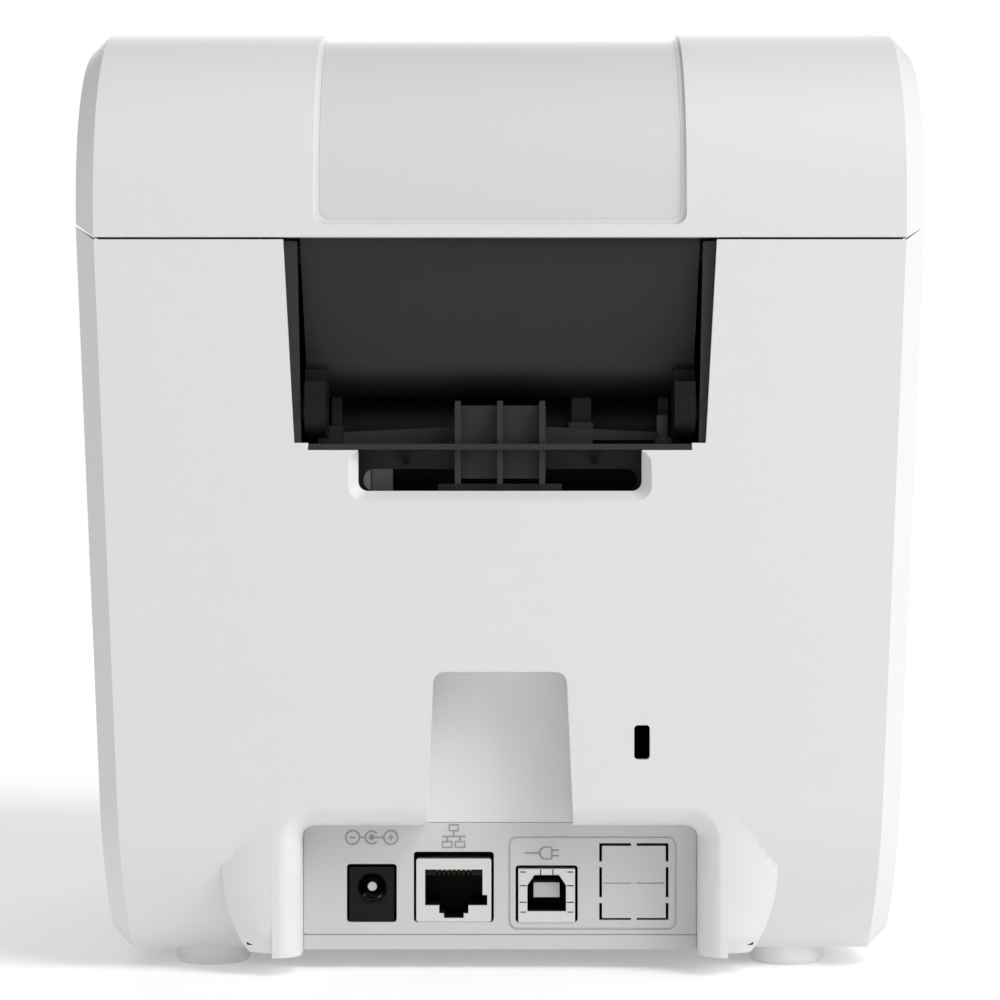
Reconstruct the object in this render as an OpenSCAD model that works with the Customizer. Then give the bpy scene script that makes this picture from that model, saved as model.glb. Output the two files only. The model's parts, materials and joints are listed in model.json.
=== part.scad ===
// Desktop thermal printer for 80 mm rolls, with a hinged lid and a rear slot for folded paper.
// Millimetres. +Z up, front at -Y, rear at +Y, origin under the centre of the body.

/* [Body] */
// Width across the lid
body_w = 178; // [177:0.5:179]
// Depth from front face to rear face
body_d = 224; // [222:1:228]
// Height from the table to the top of the lid
body_h = 202; // [201:0.5:203]
// Thickness of the moulded casing
wall = 2.4; // [2:0.1:2.8]
// Leg of the bevel all round both sides
edge_bevel = 4.2; // [3.6:0.1:4.6]
// Inward draft of the base sides, degrees
side_draft = 2.4; // [2:0.1:2.6]
// Radius of the rear top roll
rear_top_r = 38; // [36:0.5:40]
// Radius of the front top roll
front_top_r = 30; // [28:0.5:32]
// Radius of the rear bottom roll
rear_bottom_r = 42.5; // [42:0.5:44]
// Radius of the front bottom roll
front_bottom_r = 26; // [24:0.5:28]

/* [Seam and lid] */
// Height of the lid seam on the rear face
seam_z = 153.8; // [153.5:0.1:154]
// Rise of the seam across the side bevel
seam_rise = 3.1; // [2.8:0.1:3.4]
// Gap between lid and base
seam_gap = 0.5; // [0.4:0.1:0.6]
// Half-width of the sunk band over the lid
band_half_w = 38.9; // [38:0.1:40]
// Depth of the sunk band
band_depth = 1; // [0.8:0.1:1.2]

/* [Rear opening] */
// Half-width of the opening at the seam
opening_top_half = 45.5; // [45:0.1:46]
// Half-width of the opening at its foot
opening_foot_half = 42.9; // [42.6:0.1:43.2]
// Height of the foot of the opening
opening_foot_z = 111.4; // [111:0.1:112]
// Half-width of the lower notch
notch_half = 29.6; // [29:0.1:30]
// Height of the foot of the lower notch
notch_z = 101.4; // [101:0.1:102]

/* [Ports] */
// Height of the circuit board's upper face
board_top_z = 10; // [9.8:0.1:10.2]
// Centre of the power jack across the body
jack_x = 27.2; // [27:0.1:27.4]
// Centre of the network socket across the body
lan_x = 9.8; // [9.6:0.1:10]
// Centre of the USB socket across the body
usb_x = -9.9; // [-10:0.1:-9.7]
// Centre of the knock-out across the body
knockout_x = -28.4; // [-28.6:0.1:-28.2]
// Centre of the security lock slot across the body
lock_x = -29.6; // [-30:0.1:-29]
// Height of the centre of the lock slot
lock_z = 49; // [48:0.5:50]

/* [Mechanism] */
// Diameter of the rubber on the feed roller
platen_d = 14; // [13.6:0.1:14]
// Diameter of the feed roller's shaft
platen_shaft_d = 6; // [5.6:0.1:6]
// Tooth size of the feed gears, as module
gear_module = 0.8; // [0.8]
// Teeth on the feed roller's gear
platen_teeth = 28; // [28]
// Teeth on the idler
idler_teeth = 40; // [40]
// Teeth on the motor pinion
motor_teeth = 14; // [14]
// Radial running clearance of shafts and pins
running_gap = 0.05; // [0.02:0.01:0.08]
// Travel of the panel buttons
button_travel = 1; // [0.8:0.1:1.2]

/* [Hidden] */

$fn = 64;
far = 400;
eps = 0.01;
casing_z = 4;
rear_y = body_d/2;
front_y = -body_d/2;
half = body_w/2;
seam_side_z = seam_z + seam_rise;
rear_bottom_z = casing_z + 33;
arc_steps = 18;

// Colours
casing_c = [0.87, 0.87, 0.87];
band_c = [0.83, 0.83, 0.83];
panel_c = [0.80, 0.80, 0.80];
black_c = [0.10, 0.10, 0.10];
dark_c = [0.17, 0.17, 0.17];
steel_c = [0.72, 0.73, 0.75];
rubber_c = [0.12, 0.12, 0.13];
foot_c = [0.78, 0.78, 0.78];
board_c = [0.08, 0.34, 0.20];
gear_c = [0.92, 0.92, 0.88];
brass_c = [0.83, 0.66, 0.28];

// Rear opening and liner
cheek_in = 45;
cheek_t = 2.3;
cheek_out = cheek_in + cheek_t;
hinge_y = 106;
hinge_z = 118.5;
hinge_pin_r = 2;
ear_in = 36.4;
ear_out = 40.8;

// Port bay
bay_half = 41.7;
bay_top_z = 31.2;
bay_lead_r = 5.8;
bay_y = 101;
panel_t = 2;

// Roll bay
roll_y = 8;
roll_z = 92;
bowl_r = 58;
bowl_t = 2;

// Feed train: centres in the side compartment
platen_y = -88;
platen_z = 147.5;
gear_x = 50.3;
gear_w = 5;
platen_r_p = gear_module*platen_teeth/2;
idler_r_p = gear_module*idler_teeth/2;
motor_r_p = gear_module*motor_teeth/2;
mesh_slack = 0.08;
idler_dir = -70;
motor_dir = -80;
idler_y = platen_y + (platen_r_p + idler_r_p + mesh_slack)*cos(idler_dir);
idler_z = platen_z + (platen_r_p + idler_r_p + mesh_slack)*sin(idler_dir);
motor_y = idler_y + (idler_r_p + motor_r_p + mesh_slack)*cos(motor_dir);
motor_z = idler_z + (idler_r_p + motor_r_p + mesh_slack)*sin(motor_dir);
motor_r = 17.5;
bracket_x = 57;
bracket_t = 1.5;
post_r = 2;

// Control panel
panel_y = front_y + 1;
panel_half = 36;
panel_low_z = 112;
panel_high_z = 136;
button_z = 124;
button_r = 6.4;
button_xs = [22, -22];

// Latch
latch_y = -66;
latch_z = 141;
latch_r = 2.5;
latch_half = 79;

// Print head
head_pivot_y = -58;
head_pivot_z = 171;
head_face_z = platen_z + platen_d/2 + 0.3;
head_spring_xs = [-25, 25];
head_spring_y = -72;

// Media guides
guide_module = 0.8;
guide_teeth = 18;
guide_pitch_r = guide_module*guide_teeth/2;
guide_rest = 42;
guide_t = 3;
guide_y = 8;
channel_half = 11.6;
hub_r = 12;

/* ---- helpers ---- */

// Points of an arc in a plane, from angle a0 to a1
function arc(cx, cy, r, a0, a1, n) =
  [for (i = [0:n]) let (a = a0 + (a1 - a0)*i/n) [cx + r*cos(a), cy + r*sin(a)]];

// Angle that the rear bottom roll covers before it meets the flat underside
function bottom_sweep(off) = asin((rear_bottom_z - casing_z - off)/(rear_bottom_r - off));

// Side outline (depth, height) of the body, moved inwards by off
function profile(off) = concat(
  arc(rear_y - rear_bottom_r, rear_bottom_z, rear_bottom_r - off, -bottom_sweep(off), 0, arc_steps),
  arc(rear_y - rear_top_r, body_h - rear_top_r, rear_top_r - off, 0, 90, arc_steps),
  arc(front_y + front_top_r, body_h - front_top_r, front_top_r - off, 90, 180, arc_steps),
  arc(front_y + front_bottom_r, casing_z + front_bottom_r, front_bottom_r - off, 180, 270, arc_steps));

// Half-width of the body at height z: plumb, or drawn in towards the foot
function half_at(z, drafted) = half - (drafted ? (seam_side_z - z)*tan(side_draft) : 0);
function ring(off, inset, side, drafted) =
  [for (p = profile(off)) [side*(half_at(p[1], drafted) - inset), p[0], p[1]]];

// Bevelled body, every face moved inwards by off
module body_form(off, drafted) {
  leg = edge_bevel - off*(2 - sqrt(2));
  n = len(profile(off));
  points = concat(ring(off + leg, off, -1, drafted), ring(off, off + leg, -1, drafted),
    ring(off, off + leg, 1, drafted), ring(off + leg, off, 1, drafted));
  strips = [for (k = [0:2]) for (i = [0:n - 1])
    [k*n + i, (k + 1)*n + i, (k + 1)*n + (i + 1)%n, k*n + (i + 1)%n]];
  caps = [[for (i = [0:n - 1]) i], [for (i = [0:n - 1]) 3*n + (n - 1 - i)]];
  polyhedron(points, concat(strips, caps), convexity = 8);
}

// Extrude a (depth, height) outline along the width from x0
module along_x(x0, len) {
  translate([x0, 0, 0]) rotate([90, 0, 90]) linear_extrude(len) children();
}

// Extrude a (width, height) outline along the depth from y0
module along_y(y0, len) {
  translate([0, y0 + len, 0]) rotate([90, 0, 0]) linear_extrude(len) children();
}

module box(low, high) {
  translate(low) cube(high - low);
}

module rod_x(x0, x1, y, z, r) {
  translate([x0, y, z]) rotate([0, 90, 0]) cylinder(h = x1 - x0, r = r);
}

module rod_y(y0, y1, x, z, r) {
  translate([x, y0, z]) rotate([-90, 0, 0]) cylinder(h = y1 - y0, r = r);
}

module rod_z(z0, z1, x, y, r) {
  translate([x, y, z0]) cylinder(h = z1 - z0, r = r);
}

module both_sides() {
  children();
  mirror([1, 0, 0]) children();
}

// Rounded rectangle by its corners
module round_rect(low, high, r) {
  difference() {
    translate(low) square(high - low);
    for (c = [[0, 0], [1, 0], [1, 1], [0, 1]])
      let (px = c[0] == 0 ? low[0] : high[0], py = c[1] == 0 ? low[1] : high[1],
        sx = c[0] == 0 ? 1 : -1, sy = c[1] == 0 ? 1 : -1)
      difference() {
        translate([px - (sx < 0 ? r : 1), py - (sy < 0 ? r : 1)]) square(r + 1);
        translate([px + sx*r, py + sy*r]) circle(r = r, $fn = 32);
      }
  }
}

// Everything below or above the seam, as (width, height) outlines
module below_seam(gap) {
  slope = seam_rise/edge_bevel;
  run = 20;
  z1 = seam_z + gap;
  x1 = half - edge_bevel;
  polygon([[-x1 - run, -far], [x1 + run, -far], [x1 + run, z1 + run*slope], [x1, z1], [-x1, z1],
    [-x1 - run, z1 + run*slope]]);
}

module above_seam() {
  difference() {
    translate([-far, 0]) square([2*far, far]);
    below_seam(seam_gap);
  }
}

// One involute gear outline, with a tooth centred on angle turn
function involute(rb, t) = [rb*(cos(t) + t*PI/180*sin(t)), rb*(sin(t) - t*PI/180*cos(t))];
function polar_angle(p) = atan2(p[1], p[0]);
function spin(p, a) = [p[0]*cos(a) - p[1]*sin(a), p[0]*sin(a) + p[1]*cos(a)];
function roll_at(rb, r) = r <= rb ? 0 : sqrt(r*r/(rb*rb) - 1)*180/PI;

module gear_2d(m, z, turn) {
  rp = m*z/2;
  rb = rp*cos(20);
  ra = rp + m;
  rf = rp - 1.25*m;
  thin = 0.4;
  at_pitch = polar_angle(involute(rb, roll_at(rb, rp)));
  half_tooth = 90/z - thin/rp*57.3/4;
  steps = 4;
  low = max(rb, rf);
  flank = [for (i = [0:steps]) let (r = low + (ra - low)*i/steps) involute(rb, roll_at(rb, r))];
  rotate(turn) union() {
    circle(r = rf, $fn = 96);
    for (k = [0:z - 1])
      rotate(k*360/z)
        polygon(concat([[rf*0.9*cos(-half_tooth - at_pitch), rf*0.9*sin(-half_tooth - at_pitch)]],
          [for (p = flank) spin(p, -half_tooth - at_pitch)],
          [for (i = [steps:-1:0]) let (q = spin(flank[i], -half_tooth - at_pitch)) [q[0], -q[1]]],
          [[rf*0.9*cos(-half_tooth - at_pitch), -rf*0.9*sin(-half_tooth - at_pitch)]]));
  }
}

// Phase that puts a gear of zb teeth in mesh with one of za teeth, turned by a, lying in direction dir
function mesh_turn(a, dir, za, zb) = dir + 180 - (a - dir)*za/zb - 180/zb;
platen_turn = 0;
idler_turn = mesh_turn(platen_turn, idler_dir, platen_teeth, idler_teeth);
motor_turn = mesh_turn(idler_turn, motor_dir, idler_teeth, motor_teeth);

module wheel(m, z, turn, y, z0, bore) {
  translate([0, y, z0])
    along_x(gear_x, gear_w) difference() {
      gear_2d(m, z, turn);
      circle(r = bore);
    }
}

/* ---- casing ---- */

// Outer crease of the legs beside the port bay, as a half-width at height z
crease_mid_z = 23;
function crease_x(z) = 58.1 - (z > crease_mid_z ? 0.0071 : 0.016)*pow(z - crease_mid_z, 2);

lobe_in = 41;
lobe_front_y = 70;
lobe_top_z = 44;
lobe_bow = 2.2;
lobe_foot_r = 6;
lobe_rows = 26;
lobe_columns = 12;
bow_start = 46;
function clamp01(t) = max(0, min(1, t));
function smooth(t) = let (u = clamp01(t)) u*u*(3 - 2*u);

// Rear surface of a leg: flush with the body at the top, bowed outwards lower down, rounded at the foot
function lobe_y(x, z) = rear_y
  - lobe_bow*pow(clamp01((x - bow_start)/(crease_x(z) - bow_start)), 2)*(1 - smooth((z - 24)/20))
  - (z < casing_z + lobe_foot_r
    ? lobe_foot_r - sqrt(pow(lobe_foot_r, 2) - pow(casing_z + lobe_foot_r - z, 2))
    : 0);

module lobe_form() {
  rows = [for (i = [0:lobe_rows]) casing_z + (lobe_top_z - casing_z)*pow(i/lobe_rows, 1.4)];
  width = lobe_columns + 1;
  sheet = (lobe_rows + 1)*width;
  rear = [for (z = rows) for (j = [0:lobe_columns])
    let (x = lobe_in + (crease_x(z) - lobe_in)*j/lobe_columns) [x, lobe_y(x, z), z]];
  front = [for (p = rear) [p[0], lobe_front_y, p[2]]];
  skin = [for (i = [0:lobe_rows - 1]) for (j = [0:lobe_columns - 1])
    let (a = i*width + j) [a, a + 1, a + 1 + width, a + width]];
  back = [for (f = skin) [f[3] + sheet, f[2] + sheet, f[1] + sheet, f[0] + sheet]];
  rim = concat([for (j = [0:lobe_columns]) j], [for (i = [1:lobe_rows]) i*width + lobe_columns],
    [for (j = [lobe_columns - 1:-1:0]) lobe_rows*width + j], [for (i = [lobe_rows - 1:-1:1]) i*width]);
  n = len(rim);
  edge = [for (k = [0:n - 1]) [rim[k], rim[k] + sheet, rim[(k + 1)%n] + sheet, rim[(k + 1)%n]]];
  polyhedron(concat(rear, front), concat(skin, back, edge), convexity = 6);
}

// Outline of the port bay, grown by g
bay_corner_r = 3;
module bay_2d(g) {
  r = bay_corner_r + g;
  half_w = bay_half + g;
  top = bay_top_z + g;
  polygon(concat([[-half_w, -1], [half_w, -1]], arc(half_w - r, top - r, r, 0, 90, 12),
    arc(r - half_w, top - r, r, 90, 180, 12)));
}

// Bay for the ports, with its rounded lead-in, which meets the rear face at a slight angle
lead_proud = 0.12;
module bay_cut() {
  r = bay_lead_r;
  corner_x = bay_half - bay_corner_r;
  corner_z = bay_top_z - bay_corner_r;
  lead_y = rear_y - r + lead_proud;
  offset_r = r - lead_proud/2;
  along_y(bay_y - panel_t, 30) bay_2d(0);
  difference() {
    along_y(lead_y, r + 5) bay_2d(r);
    rod_x(-corner_x, corner_x, lead_y, bay_top_z + offset_r, r);
    both_sides() rod_z(-10, corner_z, bay_half + offset_r, lead_y, r);
    both_sides() intersection() {
      translate([corner_x, lead_y, corner_z]) rotate([90, 0, 0]) rotate_extrude($fn = 96)
        translate([bay_corner_r + offset_r, 0]) circle(r = r, $fn = 64);
      box([corner_x, lead_y - r - 1, corner_z], [corner_x + 30, rear_y + 1, corner_z + 30]);
    }
  }
}

// Bevel round the lower notch of the rear opening
module notch_bevel() {
  run = 2;
  hull() for (step = [[0, 0], [run + 0.2, run + 0.2]])
    along_y(rear_y - run + step[0], 0.01)
      round_rect([-notch_half - step[1], notch_z - step[1]], [notch_half + step[1], sill_low_z],
        2 + step[1]/2);
}

// Channel that leads cables up the rear face, as deep as the port bay
scoop_top_z = 63.7;
module scoop_cut(off) {
  top_half = 14 + off;
  low_half = 15.4 + off;
  corner = 2.5;
  along_y(bay_y - off, 30)
    polygon(concat([[-low_half, bay_top_z - 1], [low_half, bay_top_z - 1]],
      arc(top_half - corner, scoop_top_z + off - corner, corner, 0, 90, 6),
      arc(corner - top_half, scoop_top_z + off - corner, corner, 90, 180, 6)));
}

module opening_cut() {
  along_y(rear_y - 12, 20) union() {
    polygon([[-opening_foot_half, opening_foot_z], [opening_foot_half, opening_foot_z],
      [opening_top_half, seam_z + 5], [-opening_top_half, seam_z + 5]]);
    translate([-40, 109.9]) square([80, 10]);
    round_rect([-notch_half, notch_z], [notch_half, 114], 2);
  }
}

paper_half = 42;
slot_low_z = 151.2;

module base_casing() {
  color(casing_c) difference() {
    union() {
      difference() {
        union() {
          intersection() {
            body_form(0, true);
            along_y(-far/2, far) below_seam(0);
          }
          both_sides() lobe_form();
        }
        body_form(wall, true);
        both_sides() lobe_hollow();
      }
      // wall behind the scoop
      intersection() {
        scoop_cut(wall);
        body_form(0, true);
      }
      // walls of the port bay
      difference() {
        box([-bay_half - bay_lead_r, bay_y - 1, casing_z],
          [bay_half + bay_lead_r, rear_y, bay_top_z + bay_lead_r]);
        box([-bay_half + 2, bay_y - 2, 0], [bay_half - 2, bay_y, bay_top_z - 2]);
      }
    }
    scoop_cut(0);
    bay_cut();
    opening_cut();
    notch_bevel();
    // underside opening for the bottom plate
    box([-50, -82, 0], [50, 62, casing_z + wall + 1]);
    // lock slot
    along_y(rear_y - 10, 20) round_rect([lock_x - 1.65, lock_z - 3.6], [lock_x + 1.65, lock_z + 3.6], 0.8);
    // paper slot at the front
    box([-paper_half, front_y - 1, slot_low_z], [paper_half, front_y + 8, seam_z + 5]);
    // control panel window
    box([-panel_half, front_y - 1, panel_low_z], [panel_half, front_y + 8, panel_high_z]);
    // windows for the release tabs
    both_sides() box([70, latch_y - 9, 143], [95, latch_y + 6, 152.2]);
  }
}

module lobe_hollow() {
  box([bay_half + 7, 70, casing_z + wall], [53, rear_y - wall, 34]);
}

module bottom_plate() {
  color(dark_c) difference() {
    box([-49.8, -81.8, casing_z], [49.8, 61.8, casing_z + 2]);
    for (i = [0:7])
      box([-30, -40 + i*8, 0], [30, -37 + i*8, 20]);
    for (x = plate_screw_xs, y = plate_screw_ys)
      rod_z(0, 20, x, y, 1.6);
  }
}

foot_x = 62;
foot_ys = [-76, 88];
plate_screw_xs = [-44, 44];
plate_screw_ys = [-76, 56];
board_screw_xs = [-55, 55];
board_screw_ys = [-15, 85];

module rubber_feet() {
  color(foot_c) for (x = [-foot_x, foot_x], y = foot_ys)
    union() {
      rod_z(1, casing_z, x, y, 8);
      translate([x, y, 0]) cylinder(h = 1, r1 = 7.3, r2 = 8);
    }
}

/* ---- port panel and sockets ---- */

module knockout_outline() {
  half = 7.35;
  low = 10.4;
  high = 26.7;
  slot = 0.6;
  bridge = 1.2;
  difference() {
    translate([-half, low]) square([2*half, high - low]);
    translate([slot - half, low + 0.45]) square([2*(half - slot), high - low - 0.45 - slot]);
    translate([-bridge/2, low - 1]) square([bridge, high - low + 2]);
    for (z = [14.6, 22.2])
      translate([-half - 1, z - bridge/2]) square([2*half + 2, bridge]);
  }
}

module port_panel() {
  z0 = casing_z + 0.2;
  mouth_r = 0.7;
  color(panel_c) difference() {
    intersection() {
      along_y(bay_y - panel_t, panel_t) bay_2d(-0.1);
      box([-bay_half, 0, z0], [bay_half, far, far]);
    }
    // foot line
    box([-bay_half, bay_y - 0.3, 7.2], [bay_half, bay_y + 1, 7.5]);
    along_y(bay_y - 5, 10) union() {
      for (mouth = [[jack_x, 5.3, 12.3], [lan_x, 8.5, 14.9], [usb_x, 6.6, 12]])
        round_rect([mouth[0] - mouth[1], board_top_z - 0.05],
          [mouth[0] + mouth[1], board_top_z + mouth[2]], mouth_r);
      translate([knockout_x, 0]) knockout_outline();
    }
    // sunk group frame and score line
    along_y(bay_y - 0.3, 1) difference() {
      round_rect([-37.5, 8.3], [-1.7, 28.3], 2.1);
      round_rect([-37, 8.8], [-2.2, 27.8], 1.6);
    }
    for (side = [-1, 1])
      translate([knockout_x + side*3.5, 0, 0]) box([-2.9, bay_y - 0.3, 18.1], [2.9, bay_y + 1, 18.4]);
  }
}

module main_board() {
  t = 1.6;
  color(board_c) difference() {
    box([-60, -20, board_top_z - t], [60, 97, board_top_z]);
    for (x = board_screw_xs, y = board_screw_ys)
      rod_z(0, 20, x, y, 1.7);
    // clear of the bottom plate's rear screws
    for (x = plate_screw_xs)
      rod_z(0, 20, x, plate_screw_ys[1], 3.4);
  }
}

module board_parts() {
  z = board_top_z;
  color(dark_c) union() {
    box([-6, 20, z], [10, 36, z + 1.6]);
    box([18, 24, z], [28, 30, z + 1.2]);
    box([18, 36, z], [24, 42, z + 1.4]);
    box([-34, 26, z], [-22, 34, z + 1.8]);
    for (i = [0:3])
      rod_z(z, z + 9, 36, 10 + i*11, 4);
    for (i = [0:2])
      box([-52, 6 + i*14, z], [-42, 14 + i*14, z + 6]);
    for (i = [0:5])
      box([-10 + i*5, 60, z], [-7.5 + i*5, 61.4, z + 0.8]);
  }
}

module board_screws() {
  color(steel_c) for (x = board_screw_xs, y = board_screw_ys)
    union() {
      rod_z(board_top_z, board_top_z + 1.8, x, y, 2.8);
      rod_z(casing_z + wall, board_top_z + eps, x, y, 1.4);
    }
}

jack_bore_z = board_top_z + 7.2;
jack_bore_r = 3;

module dc_jack() {
  color(black_c) difference() {
    box([jack_x - 4.8, bay_y - 15, board_top_z], [jack_x + 4.8, bay_y - 0.4, board_top_z + 11.6]);
    rod_y(bay_y - 11, bay_y + 1, jack_x, jack_bore_z, jack_bore_r);
    rod_y(bay_y - 1, bay_y + 1, jack_x, jack_bore_z, jack_bore_r + 0.4);
    rod_y(bay_y - 13, bay_y - 10, jack_x, jack_bore_z, 1);
  }
}

// Centre pin, with the curved spring leaf on the floor of the bore
module jack_pin() {
  leaf_r = jack_bore_r - 0.05;
  color(steel_c) union() {
    rod_y(bay_y - 13, bay_y - 2.6, jack_x, jack_bore_z, 1);
    along_y(bay_y - 11, 8) translate([jack_x, jack_bore_z])
      polygon(concat(arc(0, 0, leaf_r, 225, 315, 10), arc(0, 0, leaf_r - 0.25, 315, 225, 10)));
  }
}

module lan_socket() {
  z = board_top_z;
  color(steel_c) difference() {
    along_y(bay_y - 20, 19.8) round_rect([lan_x - 7.95, z], [lan_x + 7.95, z + 13.4], 0.5);
    box([lan_x - 7.45, bay_y - 19.5, z + 0.5], [lan_x + 7.45, bay_y - 0.7, z + 12.9]);
    along_y(bay_y - 2, 4) lan_mouth(z, 0.1);
  }
}

// Mouth of the network socket, with the stepped latch recess below
module lan_mouth(z, grow) {
  g = grow;
  translate([lan_x - 6 - g, z + 3.6 - g]) square([12 + 2*g, 7.4 + 2*g]);
  translate([lan_x - 3 - g, z + 1.9 - g]) square([6 + 2*g, 2.5]);
  translate([lan_x - 2 - g, z + 0.9 - g]) square([4 + 2*g, 2.5]);
  translate([lan_x - 7 - g, z + 3.6 - g]) square([2, 2 + 2*g]);
}

comb_x = -3.8;
comb_pitch = 1.02;
comb_slot = 0.45;

module lan_insert() {
  z = board_top_z;
  color(black_c) union() {
    difference() {
      box([lan_x - 7.4, bay_y - 19.4, z + 0.55], [lan_x + 7.4, bay_y - 0.75, z + 12.85]);
      along_y(bay_y - 14, 20) lan_mouth(z, 0);
    }
    // comb in front of the contacts
    difference() {
      box([lan_x - 6.01, bay_y - 3, z + 9.8], [lan_x + 6.01, bay_y - 0.8, z + 11.01]);
      for (i = [0:7])
        box([lan_x + comb_x + i*comb_pitch, bay_y - 4, z + 9],
          [lan_x + comb_x + i*comb_pitch + comb_slot, bay_y, z + 11]);
    }
  }
}

module lan_contacts() {
  z = board_top_z;
  color(brass_c) for (i = [0:7])
    box([lan_x + comb_x + i*comb_pitch, bay_y - 13.9, z + 10.1],
      [lan_x + comb_x + i*comb_pitch + comb_slot, bay_y - 6, z + 10.9]);
}

// D-shaped mouth of the square USB socket
module usb_mouth() {
  z = board_top_z;
  polygon([[usb_x - 4.1, z + 2.3], [usb_x + 4.1, z + 2.3], [usb_x + 4.1, z + 7.8],
    [usb_x + 2.6, z + 10], [usb_x - 2.6, z + 10], [usb_x - 4.1, z + 7.8]]);
}

module usb_shell() {
  z = board_top_z;
  slit = 0.24;
  color(steel_c) difference() {
    box([usb_x - 6, bay_y - 16, z], [usb_x + 6, bay_y + 0.3, z + 11.3]);
    box([usb_x - 5.6, bay_y - 15.6, z + 0.4], [usb_x + 5.6, bay_y - 0.2, z + 10.9]);
    along_y(bay_y - 1, 3) usb_mouth();
    // slits round the spring fingers of the front plate
    along_y(bay_y - 1, 3) translate([usb_x, z]) {
      for (x = [-1.3, 1.3])
        translate([x - slit/2, 9.9]) square([slit, 1.5]);
      for (side = [-1, 1], place = [4.1, 7.6])
        translate([side*5 - 0.75, place]) square([1.5, slit]);
      for (side = [-1, 1], place = [2, 10.5])
        translate([side*5 - 0.6, place]) square([1.2, slit]);
    }
  }
}

module usb_insert() {
  z = board_top_z;
  color(black_c) difference() {
    box([usb_x - 5.55, bay_y - 15.5, z + 0.45], [usb_x + 5.55, bay_y - 0.25, z + 10.85]);
    along_y(bay_y - 12, 20) usb_mouth();
  }
}

module usb_tongue() {
  z = board_top_z;
  color(gear_c) box([usb_x - 2.8, bay_y - 12, z + 5], [usb_x + 2.8, bay_y - 1.6, z + 8.2]);
}

/* ---- chassis and media path ---- */

chassis_rear_y = 109.2;

// Side view of the roll bay's curved floor with its front deck and rear apron
module bowl_2d() {
  difference() {
    union() {
      intersection() {
        translate([roll_y, roll_z]) difference() {
          circle(r = bowl_r + bowl_t, $fn = 128);
          circle(r = bowl_r, $fn = 128);
        }
        translate([-100, 20]) square([200, roll_z - 20]);
      }
      polygon([[roll_y - bowl_r - bowl_t, roll_z - 0.5], [roll_y - bowl_r, roll_z - 0.5],
        [-77, 139], [-79, 139]]);
    }
    // gap in the floor for the guide racks
    translate([guide_y - channel_half, 20]) square([2*channel_half, 20]);
  }
}

module cheek_2d() {
  polygon(concat([[-100, 152.5], [-100, 90], [-62, 60]], arc(roll_y, roll_z, bowl_r + 8, 210, 300, 10),
    [[60, 30], [94, 34], [98, 41], [chassis_rear_y, 41], [chassis_rear_y, 152.5]]));
}

module chassis() {
  color(black_c) difference() {
    union() {
      along_x(-cheek_in - eps, 2*(cheek_in + eps)) bowl_2d();
      both_sides() along_x(cheek_in, cheek_t) cheek_2d();
      // channel under the floor for the guide racks, with the pinion's pin
      box([-cheek_in - eps, guide_y - 14, channel_z - 2], [cheek_in + eps, guide_y + 14, channel_z]);
      for (y = [-14, channel_half])
        box([-cheek_in - eps, guide_y + y, channel_z - eps],
          [cheek_in + eps, guide_y + y + 14 - channel_half, channel_z + 5]);
      rod_z(channel_z - 1, rack_low_z + rack_t, 0, guide_y, 1.55);
      // feet of the side walls
      both_sides() box([cheek_in, -30, casing_z + wall], [cheek_out, -24, 40]);
      both_sides() box([cheek_in, 66, board_top_z + 0.2], [cheek_out, 72, 40]);
    }
    rod_x(-far, far, platen_y, platen_z, 5);
    both_sides() box([cheek_in - 1, platen_y - 4, platen_z], [cheek_out + 1, platen_y + 4, 160]);
    rod_x(-far, far, latch_y, latch_z, latch_r + running_gap);
    rod_x(-far, far, hinge_y, hinge_z, hinge_pin_r);
    rod_x(0, far, idler_y, idler_z, post_r);
    rod_x(-far, far, tension_y, tension_z, 2 + running_gap);
  }
}

sill_low_z = 109.9;
sill_high_z = 111.2;

// Inner face of the wall plates beside the opening
plate_in = 43.6;

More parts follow.
